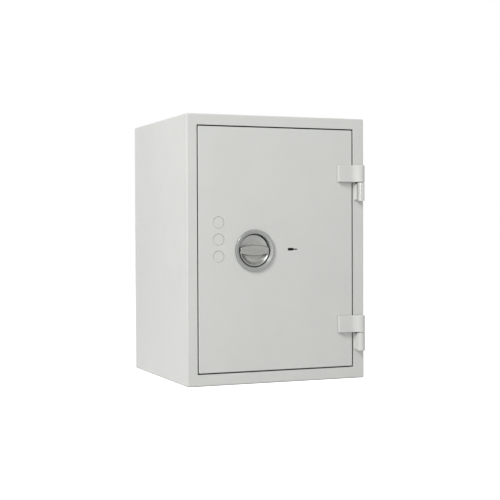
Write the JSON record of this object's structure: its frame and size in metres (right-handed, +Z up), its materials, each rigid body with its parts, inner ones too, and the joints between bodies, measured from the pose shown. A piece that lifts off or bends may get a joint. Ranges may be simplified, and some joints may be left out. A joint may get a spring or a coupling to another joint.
{
  "type": "document fire safe",
  "caption": "Upright fire-resistant document safe: insulated steel cabinet, flush hinged door on outside knuckles, recessed round handle driving sliding bolts, key lock, inner shelf.",
  "frame": {"origin": "centre of the underside of the cabinet body", "axes": "+Z up along the height; -Y is the way the door faces; +X is the hinge side"},
  "size_m": [0.46, 0.4403, 0.637],
  "materials": {
    "paint": "light grey powder coat, satin, fine texture",
    "inner_paint": "light grey paint, smooth",
    "insulation": "cast mineral insulation, matt",
    "seal": "matt dark seal strip",
    "handle_nickel": "satin nickel die casting",
    "bright_steel": "bright turned steel",
    "zinc": "zinc plated",
    "black_plastic": "moulded black"
  },
  "bodies": {
    "cabinet": {"outer_shell": "paint", "back_plate": "paint", "door_frame": "paint", "frame_seal": "seal", "inner_liner": "inner_paint", "insulation_left": "insulation", "insulation_right": "insulation", "insulation_top": "insulation", "insulation_bottom": "insulation", "insulation_back": "insulation", "anchor_sleeve": "zinc", "anchor_cap": "black_plastic", "shelf_strip_left_front": "zinc", "shelf_clip_left_front": "zinc", "shelf_strip_left_rear": "zinc", "shelf_clip_left_rear": "zinc", "shelf_strip_right_front": "zinc", "shelf_clip_right_front": "zinc", "shelf_strip_right_rear": "zinc", "shelf_clip_right_rear": "zinc", "shelf": "inner_paint", "hinge_barrel_lower": "paint", "hinge_pin_lower": "bright_steel", "thrust_washer_lower": "zinc", "hinge_barrel_upper": "bright_steel", "hinge_pin_upper": "bright_steel", "thrust_washer_upper": "zinc"},
    "door": {"door_skin": "paint", "door_back_plate": "paint", "door_seal": "seal", "door_inner_cover": "inner_paint", "door_insulation": "insulation", "cover_screw_lower_left": "zinc", "cover_screw_lower_right": "zinc", "cover_screw_upper_left": "zinc", "cover_screw_upper_right": "zinc", "blanking_cap_1": "paint", "blanking_cap_2": "paint", "blanking_cap_3": "paint", "dog_bolt_lower": "bright_steel", "dog_bolt_upper": "bright_steel", "hinge_arm_lower": "paint", "hinge_arm_upper": "paint", "handle_ring": "handle_nickel", "spindle_bearing": "zinc", "carrier_guide_lower": "zinc", "carrier_guide_upper": "zinc", "lock_case": "zinc", "lock_cover": "zinc"},
    "handle": {"handle_knob": "handle_nickel", "handle_spindle": "zinc"},
    "boltwork": {"bolt_carrier": "zinc", "throw_bolt_lower": "bright_steel", "throw_bolt_middle": "bright_steel", "throw_bolt_upper": "bright_steel"},
    "key_curtain": {"key_curtain": "zinc"},
    "lock_bolt": {"lock_bolt": "bright_steel"}
  },
  "joints": [
    {"name": "door_hinge", "type": "hinge", "parent": "cabinet", "child": "door", "pos_m": [0.2165, -0.2203, 0.3], "axis": [0, 0, 1], "range_deg": [0, 180]},
    {"name": "handle_turn", "type": "hinge", "parent": "door", "child": "handle", "pos_m": [-0.0605, -0.21, 0.3167], "axis": [0, -1, 0], "range_deg": [0, 90]},
    {"name": "bolt_slide", "type": "slide", "parent": "door", "child": "boltwork", "axis": [-1, 0, 0], "range_m": [0, 0.018]},
    {"name": "key_turn", "type": "hinge", "parent": "door", "child": "key_curtain", "pos_m": [0.038, -0.21, 0.3187], "axis": [0, -1, 0], "range_deg": [0, 80]},
    {"name": "lock_bolt_slide", "type": "slide", "parent": "door", "child": "lock_bolt", "axis": [0, 0, 1], "range_m": [0, 0.009]}
  ],
  "couplings": [
    {"joint": "bolt_slide", "follows": "handle_turn", "m_per_rad": 0.011459},
    {"joint": "lock_bolt_slide", "follows": "key_turn", "m_per_rad": 0.0064457}
  ]
}
